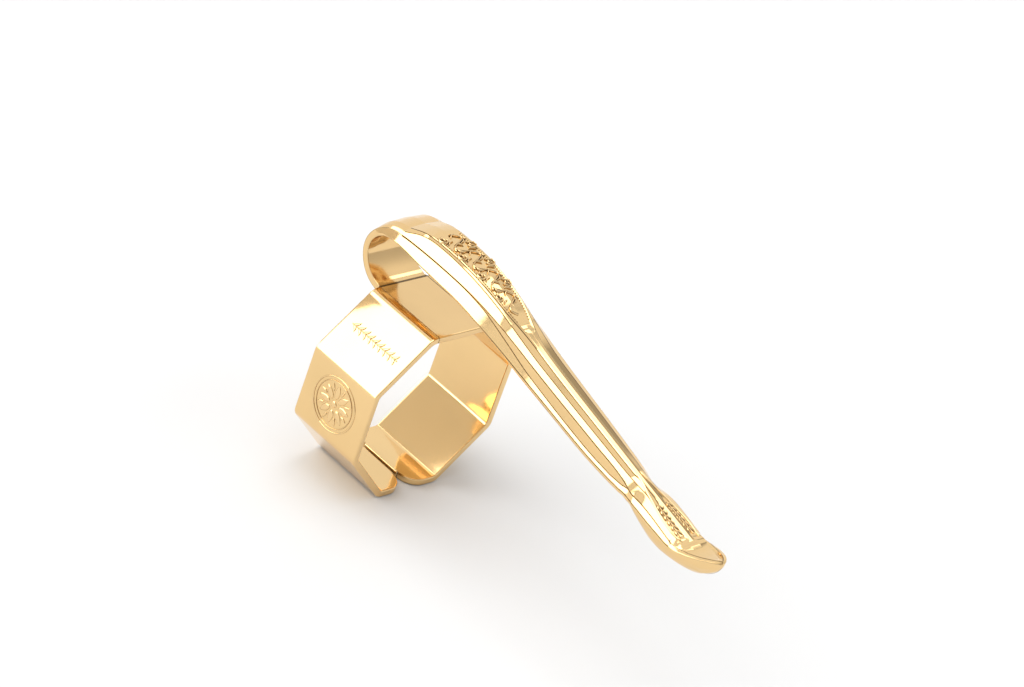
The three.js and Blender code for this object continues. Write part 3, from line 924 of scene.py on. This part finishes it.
WALL_LEVELS = (1.0, 0.55)  # behind the clip, and in front of its arm
PATCH_LEVEL, FRAME_LEVEL, FRAME_WIDTH, SOFTNESS = 0.45, 0.7, 2, 0.8
SOFTBOXES = [
    # direction, top, half width, half height, level
    ((-0.60, -0.62, 0.50), (-0.35, -0.36, 0.87), 30, 30, 3.5),
    ((-0.14, -0.02, 0.99), (0, 1, 0), 12, 22, 3.3),
    ((-0.20, 0.665, 0.715), (0, -0.7, 0.7), 5, 4.2, 2.6),
]

world = bpy.data.worlds.new("studio")
bpy.context.scene.world = world
world.use_nodes = True
sky_nodes, sky_links = world.node_tree.nodes, world.node_tree.links
sky_coords = sky_nodes.new("ShaderNodeTexCoord")


def feed(node, index, value):
    if isinstance(value, bpy.types.NodeSocket):
        sky_links.new(value, node.inputs[index])
    else:
        node.inputs[index].default_value = value


def math_of(operation, *values):
    node = sky_nodes.new("ShaderNodeMath")
    node.operation = operation
    for i, value in enumerate(values):
        feed(node, i, value)
    return node.outputs[0]


def along(direction):
    """How far the looked-at direction runs along this one."""
    node = sky_nodes.new("ShaderNodeVectorMath")
    node.operation = "DOT_PRODUCT"
    sky_links.new(sky_coords.outputs["Generated"], node.inputs[0])
    node.inputs[1].default_value = tuple(direction)
    return node.outputs["Value"]


def ramp_of(value, low, high, to_low=0.0, to_high=1.0):
    node = sky_nodes.new("ShaderNodeMapRange")
    node.interpolation_type = "SMOOTHSTEP"
    for i, item in enumerate((value, low, high, to_low, to_high)):
        feed(node, i, item)
    return node.outputs[0]


def window(direction, top, half_wide, half_high, soft=SOFTNESS):
    """1 inside a rectangle of the surroundings and 0 outside it. Sizes are half angles in degrees."""
    ahead = Vector(direction).normalized()
    side = ahead.cross(Vector(top)).normalized()
    rise = side.cross(ahead)
    depth = math_of("MAXIMUM", along(ahead), 0.001)
    masks = []
    for axis, half in ((side, half_wide), (rise, half_high)):
        slope = math_of("ABSOLUTE", math_of("DIVIDE", along(axis), depth))
        edge = math.tan(math.radians(half))
        blur = math.tan(math.radians(half + soft)) - edge
        masks.append(ramp_of(slope, edge - blur, edge + blur, 1.0, 0.0))
    front = ramp_of(along(ahead), 0.0, 0.05)
    return math_of("MULTIPLY", math_of("MULTIPLY", *masks), front)


def over(below, level, mask):
    """below, with a level laid over it where the mask is 1."""
    kept = math_of("MULTIPLY", below, math_of("SUBTRACT", 1.0, mask))
    return math_of("ADD", kept, math_of("MULTIPLY", level, mask))


sky = ramp_of(along((1, 0, 0)), 0.1, 0.9, *WALL_LEVELS)
sky = over(sky, PATCH_LEVEL, window((-0.22, 0.83, 0.5), (0, -0.5, 0.8), 5, 8, soft=2))
for direction, top, wide, high, level in SOFTBOXES:
    sky = over(sky, FRAME_LEVEL, window(direction, top, wide + FRAME_WIDTH, high + FRAME_WIDTH))
    sky = over(sky, level, window(direction, top, wide, high))
background = world.node_tree.nodes["Background"]
background.inputs["Color"].default_value = (1, 1, 1, 1)
sky_links.new(sky, background.inputs["Strength"])

# Camera.

AZIMUTH, ELEVATION, ROLL = 35.954, 30.431, 20.30  # degrees
CAMERA_AT, LENS, SENSOR = (0.152305, -0.199974, 0.153726), 151.347, 36

azimuth, elevation, roll = math.radians(AZIMUTH), math.radians(ELEVATION), math.radians(ROLL)
flat = math.cos(elevation)
back = Vector((math.sin(azimuth) * flat, -math.cos(azimuth) * flat, math.sin(elevation)))
level = Vector((math.cos(azimuth), math.sin(azimuth), 0))
upright = back.cross(level)
across = level * math.cos(roll) + upright * math.sin(roll)
up = upright * math.cos(roll) - level * math.sin(roll)
camera = bpy.data.cameras.new("camera")
camera.lens = LENS
camera.sensor_width = SENSOR
camera.clip_start = 0.01
camera_object = bpy.data.objects.new("camera", camera)
bpy.context.scene.collection.objects.link(camera_object)
turn = Matrix((across, up, back)).transposed().to_4x4()
camera_object.matrix_world = Matrix.Translation(CAMERA_AT) @ turn
bpy.context.scene.camera = camera_object
bpy.context.scene.view_settings.view_transform = "Standard"
